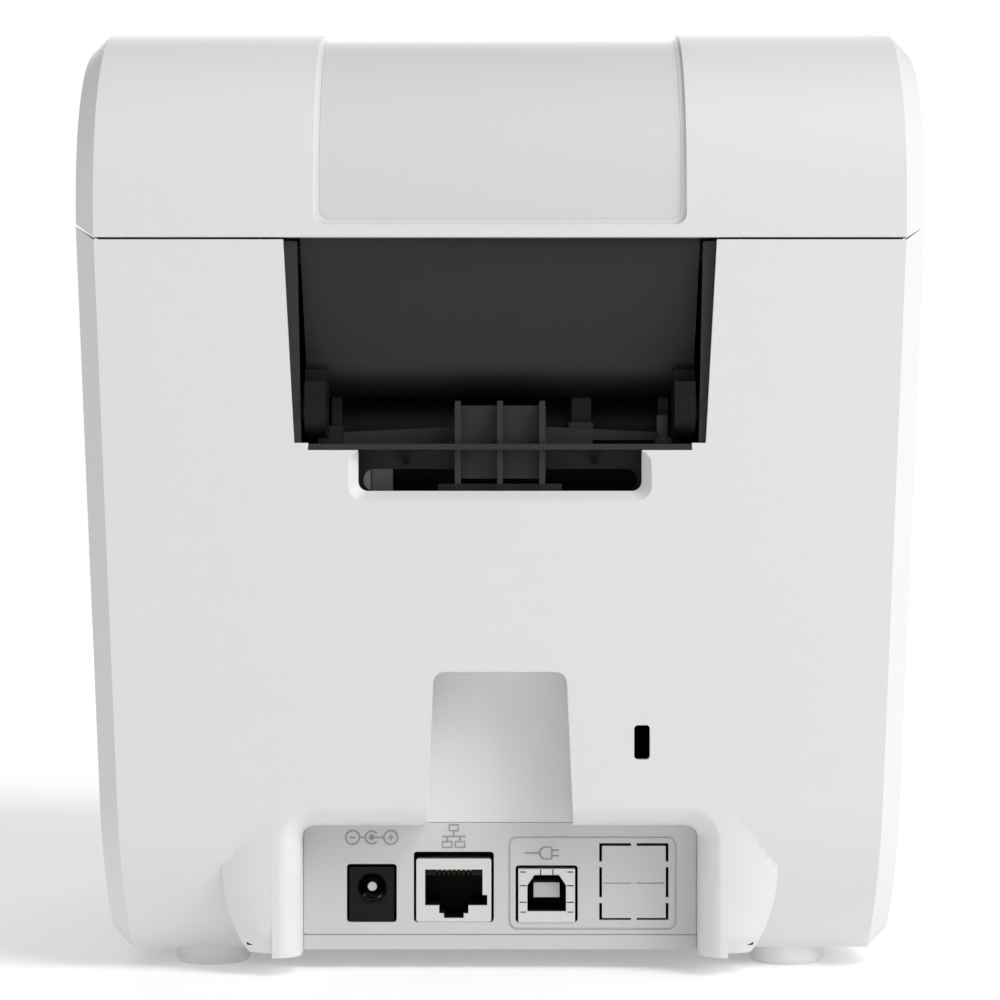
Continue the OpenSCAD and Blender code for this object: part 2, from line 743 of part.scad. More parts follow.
module rear_guide() {
  y = rear_y;
  wall_y = y - 12;
  lining_y = y - wall - 0.15;
  color(black_c) union() {
    // sill flush with the rear face
    box([-39.8, wall_y, sill_low_z + 0.1], [39.8, y, sill_high_z]);
    // upper wall behind the sill
    along_y(wall_y, 2)
      polygon([[-19.6, sill_high_z - 0.5], [33, sill_high_z - 0.5], [33, 113.9], [9.6, 115], [9.6, 119.3],
        [-9.6, 119.3], [-9.6, 115], [-33, 113.9], [-33, 112.2], [-19.6, 112.2]]);
    box([-9.6, wall_y + 1.99, 104], [9.6, wall_y + 8, 119.3]);
    for (x = [0, -8.8, 8.8])
      box([x - 0.6, wall_y + 7.99, 102.9], [x + 0.6, wall_y + 10.8, 120.2]);
    // lower wall with the pill slot
    along_y(wall_y, 2) difference() {
      translate([-44, 98]) square([88, 12.5]);
      round_rect([-29, 101.4], [29, 106.1], 2.3);
    }
    for (x = [-20, 20])
      along_x(x - 0.6, 1.2) polygon([[wall_y + 1.99, 107], [wall_y + 7.5, 109.95], [wall_y + 1.99, 109.95]]);
    box([-13, wall_y + 1.99, 101], [13, wall_y + 7, 102.91]);
    // small stops and posts on the floor
    box([33.6, wall_y - 9, sill_high_z - 0.01], [38.9, wall_y - 4.3, 115.3]);
    box([-38.9, wall_y - 9, sill_high_z - 0.01], [-36.3, wall_y - 4.3, 116]);
    box([24.7, wall_y - 4, sill_high_z - 0.01], [26.6, wall_y + 1.99, 113.6]);
    box([-19.8, wall_y - 10, sill_high_z - 0.01], [-14.6, wall_y - 1, 116]);
    box([-19.6, wall_y - 10, sill_high_z - 0.01], [-15.4, wall_y - 8, 121.5]);
    both_sides() box([34, wall_y - 10, sill_high_z - 0.01], [36.2, wall_y - 8, 121.5]);
    // linings beside the opening, and the wall plates that carry them
    both_sides() {
      along_y(lining_y, 1.35) polygon([[41.5, 111.5], [42.8, 111.5], [45.1, 153.5], [42.4, 153.5]]);
      difference() {
        box([plate_in, wall_y - 3, sill_high_z - 0.5], [cheek_in - 0.1, lining_y + 0.05, 152]);
        rod_x(0, far, hinge_y, hinge_z, hinge_pin_r + running_gap);
      }
    }
    // floor running forwards to the roll bay
    box([-cheek_in + 0.1, 90, 109.2], [cheek_in - 0.1, y - 11.99, sill_high_z]);
    along_x(-cheek_in + 0.1, 2*cheek_in - 0.2)
      polygon([[90.01, 109.2], [90.01, sill_high_z], [86, 103.5], [68.3, 103.5], [68.3, roll_z + 1],
        [70.3, roll_z + 1], [70.3, 101.5], [87.5, 101.5]]);
  }
}

module platen_bushings() {
  color(gear_c) both_sides() difference() {
    union() {
      rod_x(cheek_in - 0.8, cheek_out + 0.8, platen_y, platen_z, 4.9);
      rod_x(cheek_in - 2, cheek_in - 0.05, platen_y, platen_z, 6);
    }
    rod_x(0, far, platen_y, platen_z, platen_shaft_d/2 + running_gap);
  }
}

module platen_shaft() {
  color(steel_c) rod_x(-49.5, gear_x + gear_w + 0.7, platen_y, platen_z, platen_shaft_d/2);
}

module platen_rubber() {
  color(rubber_c) difference() {
    rod_x(-41.5, 41.5, platen_y, platen_z, platen_d/2);
    rod_x(-50, 50, platen_y, platen_z, platen_shaft_d/2);
  }
}

module platen_gear() {
  color(gear_c) wheel(gear_module, platen_teeth, platen_turn, platen_y, platen_z, platen_shaft_d/2);
}

module idler_gear() {
  color(gear_c) wheel(gear_module, idler_teeth, idler_turn, idler_y, idler_z, post_r + running_gap);
}

module idler_post() {
  color(steel_c) union() {
    rod_x(cheek_in, bracket_x + bracket_t, idler_y, idler_z, post_r);
    rod_x(gear_x + gear_w + 0.3, gear_x + gear_w + 1, idler_y, idler_z, 3.4);
  }
}

module motor_pinion() {
  color(brass_c) union() {
    wheel(gear_module, motor_teeth, motor_turn, motor_y, motor_z, 1);
    rod_x(gear_x - 1, bracket_x + bracket_t + 3, motor_y, motor_z, 1);
  }
}

module motor_bracket() {
  x = bracket_x;
  color(steel_c) difference() {
    union() {
      box([x, -97, 80], [x + bracket_t, -56, 133]);
      for (p = [[-95, 84], [-58, 84]])
        rod_x(cheek_out + 0.05, x + eps, p[0], p[1] + 10, 2.5);
    }
    rod_x(0, far, motor_y, motor_z, 5.1);
    rod_x(0, far, idler_y, idler_z, post_r);
  }
}

module stepper_motor() {
  x = bracket_x + bracket_t;
  color(steel_c) difference() {
    union() {
      rod_x(x, x + 22, motor_y, motor_z, motor_r);
      rod_x(x - bracket_t - 0.5, x + eps, motor_y, motor_z, 5);
    }
    rod_x(0, x + 10, motor_y, motor_z, 1 + running_gap);
  }
}

module motor_screws() {
  x = bracket_x;
  color(steel_c) for (a = [45, 225])
    rod_x(x - 1.2, x - 0.02, motor_y + 13*cos(a), motor_z + 13*sin(a), 2);
}

module tear_bar() {
  teeth = 42;
  z = slot_low_z;
  pitch = 2*(paper_half - 0.5)/teeth;
  color(steel_c) union() {
    box([-paper_half + 0.5, front_y + 4, z - 9], [paper_half - 0.5, front_y + 4.8, z + 0.6]);
    along_y(front_y + 4, 0.8) for (i = [0:teeth - 1])
      translate([-paper_half + 0.5 + i*pitch, z + 0.5]) polygon([[0, 0], [pitch, 0], [pitch/2, 1.4]]);
    box([-paper_half + 0.5, front_y + wall, z - 9], [paper_half - 0.5, front_y + 4.01, z - 8.2]);
  }
}

tension_y = 78;
tension_z = 115;

// Free-turning roller under the liner, which folded paper runs over
module guide_roller() {
  color(dark_c) union() {
    rod_x(-34.2, 34.2, tension_y, tension_z, 9);
    both_sides() rod_x(34.1, 35.4, tension_y, tension_z, 10);
    rod_x(-cheek_out, cheek_out, tension_y, tension_z, 2);
  }
}

/* ---- control panel ---- */

module control_panel() {
  color(panel_c) difference() {
    union() {
      box([-panel_half + 0.15, panel_y, panel_low_z + 0.15],
        [panel_half - 0.15, panel_y + 2, panel_high_z - 0.15]);
      box([-panel_half - 2, front_y + wall + 0.05, panel_low_z - 2],
        [panel_half + 2, front_y + wall + 1.4, panel_high_z + 2]);
    }
    for (x = button_xs)
      rod_y(-far, 0, x, button_z, button_r + 0.35);
    for (i = [-1:1])
      rod_y(-far, 0, i*6, button_z, 1.5);
  }
}

module status_lights() {
  color([0.55, 0.85, 0.45]) for (i = [-1:1])
    rod_y(panel_y - 0.2, front_y + 9.9, i*6, button_z, 1.5);
}

module button_board() {
  y = front_y + 10;
  color(board_c) difference() {
    box([-34, y, panel_low_z + 2], [34, y + 1.6, panel_high_z - 2]);
    for (x = [-31, 31])
      rod_y(-far, 0, x, button_z, 1.6);
  }
}

module panel_button(x) {
  union() {
    rod_y(front_y + 0.1, front_y + 6, x, button_z, button_r);
    rod_y(front_y + 4.4, front_y + 6, x, button_z, button_r + 1.4);
    rod_y(front_y + 5.99, front_y + 10 - button_travel - 0.4, x, button_z, 2.2);
  }
}

module power_button() {
  color([0.35, 0.36, 0.38]) panel_button(button_xs[0]);
}

module feed_button() {
  color([0.35, 0.36, 0.38]) panel_button(button_xs[1]);
}

/* ---- hinge, fasteners ---- */

module hinge_pins() {
  color(steel_c) both_sides() rod_x(ear_in + 0.3, cheek_out + 0.6, hinge_y, hinge_z, hinge_pin_r);
}

module casing_screws() {
  color(steel_c) for (x = plate_screw_xs, y = plate_screw_ys)
    union() {
      rod_z(casing_z - 1.4, casing_z - 0.02, x, y, 2.8);
      rod_z(casing_z - 0.1, board_top_z, x, y, 1.5);
    }
}

/* ---- media guides and sensor ---- */

channel_z = roll_z - bowl_r - 4;
rack_low_z = channel_z + 0.3;
rack_t = 3;

// Outline (width, depth) of the straight rack of the guide on side +1 or -1
module rack_2d(side) {
  m = guide_module;
  pitch = PI*m;
  first = -ceil(2/pitch);
  last = floor((guide_rest - guide_t)/pitch);
  teeth = [for (i = [first:last]) i];
  back = 3.4;
  half_pitch_t = pitch/4 - 0.07;
  mirror([side < 0 ? 1 : 0, 0]) translate([0, side*guide_pitch_r]) mirror([0, side < 0 ? 1 : 0]) union() {
    translate([first*pitch - 1.5, m*1.25]) square([guide_rest - first*pitch + 1.5, back - m*1.25]);
    for (i = teeth)
      translate([i*pitch, 0])
        polygon([[-half_pitch_t - m*1.26*tan(20), m*1.26], [half_pitch_t + m*1.26*tan(20), m*1.26],
          [half_pitch_t - m*0.85*tan(20), -m*0.85], [-half_pitch_t + m*0.85*tan(20), -m*0.85]]);
  }
}

module guide_pinion() {
  color(gear_c) translate([0, guide_y, rack_low_z]) linear_extrude(rack_t) difference() {
    gear_2d(guide_module, guide_teeth, 0);
    circle(r = 1.6);
  }
}

// Roll guide with its rack below the floor of the bay
module media_guide(side) {
  x0 = side*guide_rest;
  foot_y = side*(guide_pitch_r + 1.2);
  foot_y1 = side*(guide_pitch_r + 3.4);
  color(dark_c) union() {
    difference() {
      along_x(min(x0, x0 - side*guide_t), guide_t)
        polygon(concat([[guide_y - channel_half + 1, roll_z - bowl_r + 1.6],
          [guide_y + channel_half - 1, roll_z - bowl_r + 1.6], [roll_y + 30, 60]],
          arc(roll_y, roll_z, 32, -20, 200, 16), [[roll_y - 30, 60]]));
      rod_x(-far, far, roll_y, roll_z, 7);
    }
    translate([0, guide_y, rack_low_z]) linear_extrude(rack_t) rack_2d(side);
    box([min(x0, x0 - side*guide_t), guide_y + min(foot_y, foot_y1), rack_low_z],
      [max(x0, x0 - side*guide_t), guide_y + max(foot_y, foot_y1), roll_z - bowl_r + 2]);
  }
}

module left_guide() {
  media_guide(1);
}

module right_guide() {
  media_guide(-1);
}

module hub(side) {
  back_x = side*(guide_rest + 0.6);
  step_x = side*(guide_rest - guide_t - 0.4);
  front_x = side*(guide_rest - guide_t - 7);
  color(foot_c) union() {
    rod_x(min(back_x, step_x), max(back_x, step_x), roll_y, roll_z, 6.9);
    rod_x(min(step_x, front_x), max(step_x, front_x), roll_y, roll_z, hub_r);
  }
}

module left_hub() {
  hub(1);
}

module right_hub() {
  hub(-1);
}

sensor_y = -60;
sensor_z = 127;

module sensor_rail() {
  color(steel_c) rod_x(-cheek_in, cheek_in, sensor_y, sensor_z, 2);
}

module media_sensor() {
  color(dark_c) difference() {
    box([-6, sensor_y - 5, sensor_z - 4], [6, sensor_y + 5, sensor_z + 5]);
    rod_x(-10, 10, sensor_y, sensor_z, 2 + running_gap);
  }
}

/* ---- lid ---- */

module band_outline(off) {
  r = 2.2;
  polygon(concat(arc(band_half_w - off - r, 157 + off + r, r, -90, 0, 6),
    [[band_half_w - off, far], [-band_half_w + off, far]],
    arc(-band_half_w + off + r, 157 + off + r, r, 180, 270, 6)));
}

module lid_cover() {
  color(casing_c) difference() {
    intersection() {
      difference() {
        body_form(0, false);
        body_form(wall, false);
      }
      along_y(-far/2, far) above_seam();
    }
    // sunk band, and the opening that its panel fills
    difference() {
      along_y(-far/2, far) band_outline(0);
      body_form(band_depth, false);
    }
    along_y(-far/2, far) band_outline(1.1);
    box([-paper_half, front_y - 1, seam_z - 5], [paper_half, front_y + 8, seam_z + 3.4]);
  }
}

module lid_panel() {
  color(band_c) intersection() {
    difference() {
      body_form(band_depth, false);
      body_form(wall, false);
    }
    along_y(-far/2, far) band_outline(1.1);
  }
}

liner_half = 41.9;
liner_t = 2;
liner_gap = 0.6;
liner_top_z = body_h - wall - liner_gap;
skirt_top_y = rear_y - wall - liner_gap;
skirt_foot_y = 93;
skirt_foot_z = 130.5;
skirt_foot_r = 9;

// Side view of the liner: skirt down through the rear opening, then up under the lid's roof
module liner_2d() {
  roll_r = rear_top_r - wall - liner_gap;
  outer = concat(arc(skirt_foot_y, skirt_foot_z, skirt_foot_r, -90, 0, 10), [[skirt_top_y, 152]],
    arc(rear_y - rear_top_r, body_h - rear_top_r, roll_r, 0, 90, 16),
    [[-78, liner_top_z]]);
  inner = concat([[-78, liner_top_z - liner_t]],
    arc(rear_y - rear_top_r, body_h - rear_top_r, roll_r - liner_t, 90, 0, 16),
    [[skirt_top_y - liner_t, 152.2]],
    arc(skirt_foot_y, skirt_foot_z, skirt_foot_r - liner_t, 0, -90, 10));
  polygon(concat(outer, inner));
}

module lid_liner() {
  color(dark_c) difference() {
    along_x(-liner_half, 2*liner_half) liner_2d();
    // skirt narrows towards its foot
    both_sides() along_y(80, 40)
      polygon([[liner_half, 154], [liner_half + 9, 154], [liner_half + 9, 110], [40.9, 110], [40.9, 122]]);
  }
}

module lid_ears() {
  r = 5.8;
  color(black_c) both_sides() difference() {
    union() {
      rod_x(ear_in, ear_out, hinge_y, hinge_z, r);
      rod_x(ear_out - 0.01, plate_in - 0.2, hinge_y, hinge_z, 3.2);
      box([ear_in, hinge_y - 8, hinge_z - r], [ear_out, hinge_y, hinge_z + r]);
      box([ear_in, hinge_y - 8, hinge_z - 0.01], [ear_out, hinge_y + 5.2, hinge_z + r]);
      box([ear_in, skirt_foot_y, hinge_z + 3], [41, hinge_y, 127]);
    }
    rod_x(0, far, hinge_y, hinge_z, hinge_pin_r + running_gap);
    // follows the underside of the skirt
    intersection() {
      rod_x(0, far, skirt_foot_y, skirt_foot_z, skirt_foot_r);
      box([0, 80, 121], [far, 120, 160]);
    }
    box([0, skirt_foot_y, skirt_foot_z], [far, skirt_foot_y + skirt_foot_r + eps, 160]);
  }
}

module head_mount() {
  z = liner_top_z - liner_t;
  color(steel_c) difference() {
    union() {
      box([-40, -76, z - 2], [40, -50, z - 0.05]);
      both_sides() box([38, -66, head_pivot_z - 5], [40, -50, z - 1]);
    }
    rod_x(-far, far, head_pivot_y, head_pivot_z, 2 + running_gap);
  }
}

module head_carrier() {
  color(steel_c) union() {
    rod_x(-42, 42, head_pivot_y, head_pivot_z, 2);
    along_x(-37.5, 75) polygon([[head_pivot_y + 2, head_pivot_z + 1], [head_pivot_y - 1, head_pivot_z + 3.5],
      [-98, head_face_z + 10], [-98, head_face_z + 7.5], [-80, head_face_z + 7.5],
      [head_pivot_y + 2, head_pivot_z - 2]]);
    for (x = head_spring_xs)
      rod_z(head_pivot_z - 3, 172.3, x, head_spring_y, 3.8);
  }
}

module print_head() {
  color([0.80, 0.72, 0.55]) union() {
    box([-41, -97, head_face_z + 1.6], [41, -80, head_face_z + 7.45]);
    box([-41, -96, head_face_z], [41, -80, head_face_z + 1.61]);
  }
}

module head_springs() {
  z0 = 172.4;
  z1 = liner_top_z - liner_t - 2.1;
  color(steel_c) for (x = head_spring_xs)
    difference() {
      rod_z(z0, z1, x, head_spring_y, 3);
      rod_z(z0 - 1, z1 + 1, x, head_spring_y, 2.2);
    }
}

catch_y = -64;

module lid_catches() {
  color(black_c) both_sides() union() {
    box([62, catch_y - 2, 158], [68, catch_y + 2, 161]);
    box([62, catch_y - 2, 160.5], [64, catch_y + 2, body_h - wall - 0.3]);
  }
}

module liner_screws() {
  color(steel_c) for (x = [-30, 30], y = [-40, 40])
    rod_z(body_h - wall - 4.2, body_h - wall - 2.65, x, y, 2.6);
}

/* ---- latch ---- */

module latch_shaft() {
  color(steel_c) rod_x(-latch_half, latch_half, latch_y, latch_z, latch_r);
}

module latch_hooks() {
  color(black_c) both_sides() difference() {
    along_x(62.5, 5) union() {
      translate([latch_y, latch_z]) circle(r = 5);
      polygon([[latch_y - 4, latch_z], [latch_y + 3.5, latch_z], [latch_y - 1.2, 151], [latch_y - 2.2, 157],
        [latch_y - 2.2, 162], [latch_y - 0.4, 162.6], [latch_y - 0.4, 165], [latch_y - 5.5, 166],
        [latch_y - 6.2, 157]]);
    }
    rod_x(0, far, latch_y, latch_z, latch_r);
  }
}

module release_tabs() {
  color([0.42, 0.44, 0.47]) both_sides() difference() {
    union() {
      along_x(72, 6)
        polygon([[latch_y - 4, latch_z], [latch_y + 4, latch_z], [latch_y + 3, 151.4], [latch_y - 5, 151.4]]);
      rod_x(72, 78, latch_y, latch_z, 4.5);
      box([77.9, latch_y - 5, 145.5], [88.2, latch_y + 3, 151.4]);
    }
    rod_x(0, far, latch_y, latch_z, latch_r);
  }
}

base_casing();
bottom_plate();
rubber_feet();
port_panel();
chassis();
rear_guide();
main_board();
board_parts();
board_screws();
dc_jack();
jack_pin();
lan_socket();
lan_insert();
lan_contacts();
usb_shell();
usb_insert();
usb_tongue();
platen_bushings();
motor_bracket();
stepper_motor();
motor_screws();
idler_post();
tear_bar();
control_panel();
status_lights();
button_board();
hinge_pins();
casing_screws();
sensor_rail();
guide_roller();
platen_shaft();
platen_rubber();
platen_gear();
idler_gear();
motor_pinion();
power_button();
feed_button();
lid_cover();
lid_panel();
lid_liner();
lid_ears();
head_mount();
lid_catches();
liner_screws();
head_carrier();
print_head();
head_springs();
latch_shaft();
latch_hooks();
release_tabs();
left_guide();
right_guide();
left_hub();
right_hub();
guide_pinion();
media_sensor();
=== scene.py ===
"""Looks of the desktop thermal printer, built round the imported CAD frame. Metres, rear face towards +Y."""
import json
import math
import bmesh
import bpy
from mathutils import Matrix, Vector


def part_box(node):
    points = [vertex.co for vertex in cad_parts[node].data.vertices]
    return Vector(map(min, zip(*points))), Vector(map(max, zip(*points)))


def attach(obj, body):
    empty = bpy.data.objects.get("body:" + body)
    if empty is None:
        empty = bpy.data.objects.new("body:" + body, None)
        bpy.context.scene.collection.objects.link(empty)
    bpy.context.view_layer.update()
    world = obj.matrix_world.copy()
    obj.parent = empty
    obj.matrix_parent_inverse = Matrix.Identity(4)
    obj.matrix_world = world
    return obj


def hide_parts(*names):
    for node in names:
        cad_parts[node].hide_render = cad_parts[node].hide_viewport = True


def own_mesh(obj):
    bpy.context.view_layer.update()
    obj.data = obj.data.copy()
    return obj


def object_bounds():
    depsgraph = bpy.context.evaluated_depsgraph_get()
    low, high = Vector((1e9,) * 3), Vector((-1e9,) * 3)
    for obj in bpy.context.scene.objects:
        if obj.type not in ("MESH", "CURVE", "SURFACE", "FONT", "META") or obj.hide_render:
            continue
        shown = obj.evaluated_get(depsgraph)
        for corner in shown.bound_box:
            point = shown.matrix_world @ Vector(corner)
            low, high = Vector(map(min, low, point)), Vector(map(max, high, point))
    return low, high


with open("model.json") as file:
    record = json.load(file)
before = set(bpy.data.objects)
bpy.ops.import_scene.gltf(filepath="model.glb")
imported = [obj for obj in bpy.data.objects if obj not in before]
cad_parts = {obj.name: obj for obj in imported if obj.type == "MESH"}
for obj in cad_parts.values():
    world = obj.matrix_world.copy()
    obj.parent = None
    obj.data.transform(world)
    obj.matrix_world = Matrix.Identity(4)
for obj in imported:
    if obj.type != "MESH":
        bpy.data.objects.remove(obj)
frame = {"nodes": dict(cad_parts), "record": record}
cad_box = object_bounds()
nodes = frame["nodes"]
MM = 0.001

# ---- places, worked out from the frame ----
REAR_Y = cad_box[1][1]


# ---- camera, light and world ----

CAMERA_BACK = 0.600
CAMERA_HEIGHT = 0.0995


def make_camera():
    data = bpy.data.cameras.new("camera")
    data.sensor_width = 36
    data.lens = 103.7
    data.clip_end = 100
    cam = bpy.data.objects.new("camera", data)
    bpy.context.scene.collection.objects.link(cam)
    cam.location = (0, REAR_Y + CAMERA_BACK, CAMERA_HEIGHT)
    cam.rotation_euler = (math.radians(90), 0, math.radians(180))
    bpy.context.scene.camera = cam


def area_light(name, place, target, size, power):
    data = bpy.data.lights.new(name, "AREA")
    data.shape = "RECTANGLE"
    data.size = size[0]
    data.size_y = size[1]
    data.energy = power
    lamp = bpy.data.objects.new(name, data)
    bpy.context.scene.collection.objects.link(lamp)
    lamp.location = place
    lamp.rotation_euler = (Vector(target) - Vector(place)).to_track_quat("-Z", "Y").to_euler()


def make_lights():
    centre = (0, 0.05, 0.10)
    area_light("key", (-1.5, 0.9, 0.75), centre, (0.8, 0.8), 11.3)
    area_light("high", (-0.9, 0.9, 1.5), centre, (0.8, 0.8), 13.4)
    area_light("front", (0.2, -1.6, 0.9), centre, (1.2, 1.0), 10)
    area_light("left", (1.6, 0.5, 0.6), centre, (1.2, 1.0), 1.8)


def make_world():
    """White to the eye, and dimmer as a light."""
    world = bpy.data.worlds.new("studio")
    world.use_nodes = True
    tree = world.node_tree
    soft = tree.nodes["Background"]
    soft.inputs["Color"].default_value = (1, 1, 1, 1)
    soft.inputs["Strength"].default_value = 0.4
    white = tree.nodes.new("ShaderNodeBackground")
    white.inputs["Color"].default_value = (1, 1, 1, 1)
    white.inputs["Strength"].default_value = 1.0
    path = tree.nodes.new("ShaderNodeLightPath")
    either = tree.nodes.new("ShaderNodeMixShader")
    tree.links.new(path.outputs["Is Camera Ray"], either.inputs["Fac"])
    tree.links.new(soft.outputs["Background"], either.inputs[1])
    tree.links.new(white.outputs["Background"], either.inputs[2])
    tree.links.new(either.outputs["Shader"], tree.nodes["World Output"].inputs["Surface"])
    bpy.context.scene.world = world


# ---- materials ----

def to_linear(value):
    """One channel of a screen colour as light."""
    return value / 12.92 if value <= 0.04045 else ((value + 0.055) / 1.055) ** 2.4


GLOSS_SHIFT = 0.06


def grained(name, color, rough=0.5, grain=1400, grain_depth=0.05, mottle=0.02, metallic=0.0, coat=0.0,
            brushed=None, specular=0.5):
    """A moulded or machined surface: fine grain as bump, small shifts of colour and of gloss."""
    mat = bpy.data.materials.new(name)
    mat.use_nodes = True
    tree = mat.node_tree
    shader = tree.nodes["Principled BSDF"]
    shader.inputs["Metallic"].default_value = metallic
    shader.inputs["Coat Weight"].default_value = coat
    shader.inputs["Specular IOR Level"].default_value = specular
    place = tree.nodes.new("ShaderNodeTexCoord")
    stretch = tree.nodes.new("ShaderNodeMapping")
    if brushed:
        stretch.inputs["Scale"].default_value = brushed
    tree.links.new(place.outputs["Object"], stretch.inputs["Vector"])

    fine = tree.nodes.new("ShaderNodeTexNoise")
    fine.inputs["Scale"].default_value = grain
    fine.inputs["Detail"].default_value = 3
    tree.links.new(stretch.outputs["Vector"], fine.inputs["Vector"])
    broad = tree.nodes.new("ShaderNodeTexNoise")
    broad.inputs["Scale"].default_value = 22
    broad.inputs["Detail"].default_value = 2
    tree.links.new(place.outputs["Object"], broad.inputs["Vector"])

    tint = tree.nodes.new("ShaderNodeMix")
    tint.data_type = "RGBA"
    base = [to_linear(channel) for channel in color]
    tint.inputs["A"].default_value = tuple(c * (1 - mottle) for c in base) + (1,)
    tint.inputs["B"].default_value = tuple(min(1, c * (1 + mottle)) for c in base) + (1,)
    tree.links.new(broad.outputs["Fac"], tint.inputs["Factor"])
    tree.links.new(tint.outputs["Result"], shader.inputs["Base Color"])

    gloss = tree.nodes.new("ShaderNodeMapRange")
    gloss.inputs["To Min"].default_value = rough - GLOSS_SHIFT
    gloss.inputs["To Max"].default_value = rough + GLOSS_SHIFT
    tree.links.new(fine.outputs["Fac"], gloss.inputs["Value"])
    tree.links.new(gloss.outputs["Result"], shader.inputs["Roughness"])

    bump = tree.nodes.new("ShaderNodeBump")
    bump.inputs["Strength"].default_value = grain_depth
    bump.inputs["Distance"].default_value = 0.0002
    tree.links.new(fine.outputs["Fac"], bump.inputs["Height"])
    tree.links.new(bump.outputs["Normal"], shader.inputs["Normal"])
    return mat


def grey(level):
    return (level, level, level)


def make_materials():
    """One material for each material slot of the record."""
    return {
        "casing": grained("casing_plastic", grey(0.873), rough=0.46, grain_depth=0.10, mottle=0.008),
        "band": grained("band_plastic", grey(0.835), rough=0.40, grain_depth=0.06, mottle=0.008),
        "panel": grained("panel_plastic", grey(0.80), rough=0.48, grain_depth=0.10, mottle=0.01),
        "black_plastic": grained("black_plastic", grey(0.125), rough=0.62, grain_depth=0.2, mottle=0.08),
        "deep_black": grained("deep_black_plastic", grey(0.05), rough=0.6, grain_depth=0.1, mottle=0.08,
                              specular=0.22),
        "dark_plastic": grained("liner_plastic", grey(0.075), rough=0.56, grain_depth=0.08, mottle=0.03),
        # The feet's grey is partly their own light tone and partly painted light: it is raised to stand in
        # for the light from below that reaches them too weakly here.
        "foot_rubber": grained("foot_rubber", grey(0.92), rough=0.7, grain=900, grain_depth=0.3),
        "roller_rubber": grained("roller_rubber", (0.12, 0.12, 0.13), rough=0.75, grain=2200,
                                 grain_depth=0.4),
        "steel": grained("plated_steel", (0.62, 0.63, 0.65), rough=0.34, metallic=1, grain=260,
                         grain_depth=0.06, brushed=(1, 14, 14)),
        "plated_screws": grained("screw_steel", (0.66, 0.67, 0.69), rough=0.3, metallic=1, grain=500),
        "socket_metal": grained("socket_tin", grey(0.87), rough=0.38, metallic=0.55, grain=400,
                                grain_depth=0.04),
        "brass": grained("brass", (0.83, 0.66, 0.28), rough=0.28, metallic=1, grain=500, grain_depth=0.04),
        "gear_plastic": grained("acetal", (0.92, 0.92, 0.88), rough=0.38),
        "board": grained("solder_mask", (0.08, 0.34, 0.20), rough=0.3, grain=600, grain_depth=0.06,
                         mottle=0.15),
        "lights": grained("light_pipe", (0.55, 0.85, 0.45), rough=0.2, coat=0.4, grain_depth=0.02),
        "button_plastic": grained("button_plastic", (0.38, 0.40, 0.42), rough=0.45, grain_depth=0.12),
        "hub_plastic": grained("hub_plastic", grey(0.78), rough=0.45),
        "head_alloy": grained("cast_aluminium", (0.75, 0.76, 0.78), rough=0.42, metallic=1, grain=700,
                              grain_depth=0.2),
        "head_ceramic": grained("glazed_ceramic", (0.80, 0.72, 0.55), rough=0.15, coat=0.5,
                                grain_depth=0.02),
    }


# ---- CAD nodes: small rounded edges and true materials ----

SHARP = math.radians(32)


def dress(obj, material, edge, dissolve):
    """Keeps the CAD mesh and softens its sharp edges by modifiers."""
    for polygon in obj.data.polygons:
        polygon.use_smooth = True
    obj.data.materials.clear()
    obj.data.materials.append(material)
    weld = obj.modifiers.new("weld", "WELD")
    weld.merge_threshold = 0.004 * MM
    if dissolve:
        flat = obj.modifiers.new("dissolve", "DECIMATE")
        flat.decimate_type = "DISSOLVE"
        flat.angle_limit = math.radians(0.4)
    if edge:
        bevel = obj.modifiers.new("edge", "BEVEL")
        bevel.width = edge * MM
        bevel.segments = 2
        bevel.limit_method = "ANGLE"
        bevel.angle_limit = SHARP
        bevel.use_clamp_overlap = True
        bevel.miter_outer = "MITER_ARC"
    split = obj.modifiers.new("split", "EDGE_SPLIT")
    split.split_angle = SHARP
    even = obj.modifiers.new("even", "WEIGHTED_NORMAL")
    even.mode = "FACE_AREA"
    even.weight = 100
    even.keep_sharp = True


# Rounding of the edges in millimetres, where it isn't the usual one
USUAL_EDGE = 0.15
EDGES = {"base_casing": 0.3, "lid_cover": 0.3, "lan_contacts": 0.05}
UNROUNDED = ("platen_gear", "idler_gear", "guide_pinion", "motor_pinion", "tear_bar", "head_springs",
             "usb_shell", "port_panel")
# Flat faces with openings, which lose their outline if their triangles are joined
WHOLE_FACES = ("port_panel", "usb_shell", "lan_socket", "lan_insert")


def dress_all(materials):
    for part in frame["record"]["subparts"]:
        name = part["node"]
        edge = 0 if name in UNROUNDED else EDGES.get(name, USUAL_EDGE)
        dress(nodes[name], materials[part["material_slot"]], edge, name not in WHOLE_FACES)


# ---- pieces made by mesh work ----

def piece(name, body, material, build, bevel=0.0):
    """A new piece that build(bm) shapes in millimetres, riding on a CAD body."""
    bm = bmesh.new()
    build(bm)
    bmesh.ops.scale(bm, vec=(MM, MM, MM), verts=bm.verts)
    bmesh.ops.recalc_face_normals(bm, faces=bm.faces)
    mesh = bpy.data.meshes.new(name)
    bm.to_mesh(mesh)
    bm.free()
    for polygon in mesh.polygons:
        polygon.use_smooth = True
    mesh.materials.append(material)
    obj = bpy.data.objects.new(name, mesh)
    bpy.context.scene.collection.objects.link(obj)
    if bevel:
        soft = obj.modifiers.new("edge", "BEVEL")
        soft.width = bevel * MM
        soft.segments = 2
        soft.limit_method = "ANGLE"
        soft.angle_limit = SHARP
    split = obj.modifiers.new("split", "EDGE_SPLIT")
    split.split_angle = math.radians(35)
    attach(obj, body)
    return obj


